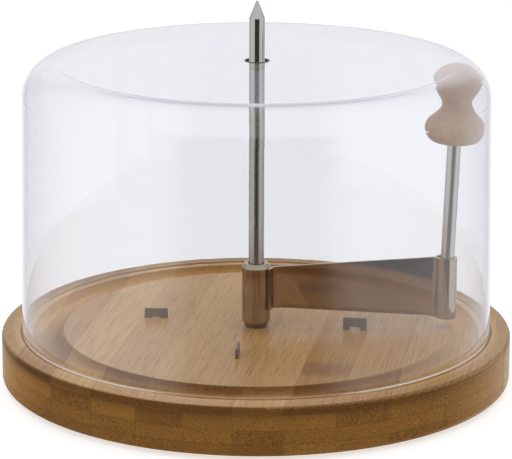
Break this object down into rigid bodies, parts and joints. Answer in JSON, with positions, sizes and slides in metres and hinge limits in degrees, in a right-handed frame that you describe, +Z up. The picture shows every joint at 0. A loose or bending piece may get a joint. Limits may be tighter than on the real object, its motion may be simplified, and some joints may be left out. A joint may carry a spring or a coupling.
{
  "type": "cheese curler",
  "caption": "Round wooden board with an upright pointed spindle, a hand-cranked scraping blade that turns on it, small tabs that grip the cheese, and a clear lift-off dome.",
  "frame": {"origin": "on the surface the feet stand on, on the spindle's axis", "axes": "+Z up along the spindle, +X along the crank arm as it stands at rest, -Y towards the front of the board"},
  "size_m": [0.22, 0.22, 0.1654],
  "materials": {
    "bamboo": "light bamboo strips, oiled, satin",
    "foot_rubber": "black rubber, matte",
    "polished_steel": "ground and polished stainless steel",
    "blade_steel": "polished stainless steel sheet",
    "tab_steel": "stamped stainless steel, satin",
    "zinc_steel": "zinc-plated steel",
    "grey_nylon": "grey nylon",
    "turned_beech": "turned beech, clear lacquer",
    "clear_plastic": "clear moulded plastic, glossy"
  },
  "bodies": {
    "base": {"base_board": "bamboo", "foot_back_right": "foot_rubber", "foot_back_left": "foot_rubber", "foot_front_left": "foot_rubber", "foot_front_right": "foot_rubber", "spindle": "polished_steel", "spindle_washer": "zinc_steel", "spindle_screw": "zinc_steel", "tab_right": "tab_steel", "tab_back": "tab_steel", "tab_left": "tab_steel", "tab_front": "tab_steel"},
    "slider": {"thrust_bush": "grey_nylon"},
    "crank": {"hub_tube": "polished_steel", "upper_bush": "grey_nylon", "blade": "blade_steel", "crank_rod": "polished_steel", "knob_clip": "zinc_steel"},
    "grip": {"knob": "turned_beech", "knob_bush": "grey_nylon"},
    "cover": {"dome": "clear_plastic"}
  },
  "joints": [
    {"name": "hub_slide", "type": "slide", "parent": "base", "child": "slider", "axis": [0, 0, 1], "range_m": [0, 0.145]},
    {"name": "crank_turn", "type": "hinge", "parent": "slider", "child": "crank", "pos_m": [0, 0, 0.0225], "axis": [0, 0, 1], "continuous": true},
    {"name": "knob_spin", "type": "hinge", "parent": "crank", "child": "grip", "pos_m": [0.08439, 0, 0.10515], "axis": [0.0349, 0, 0.9994], "continuous": true},
    {"name": "dome_lift", "type": "slide", "parent": "slider", "child": "cover", "axis": [0, 0, 1], "range_m": [0, 0.145]}
  ]
}
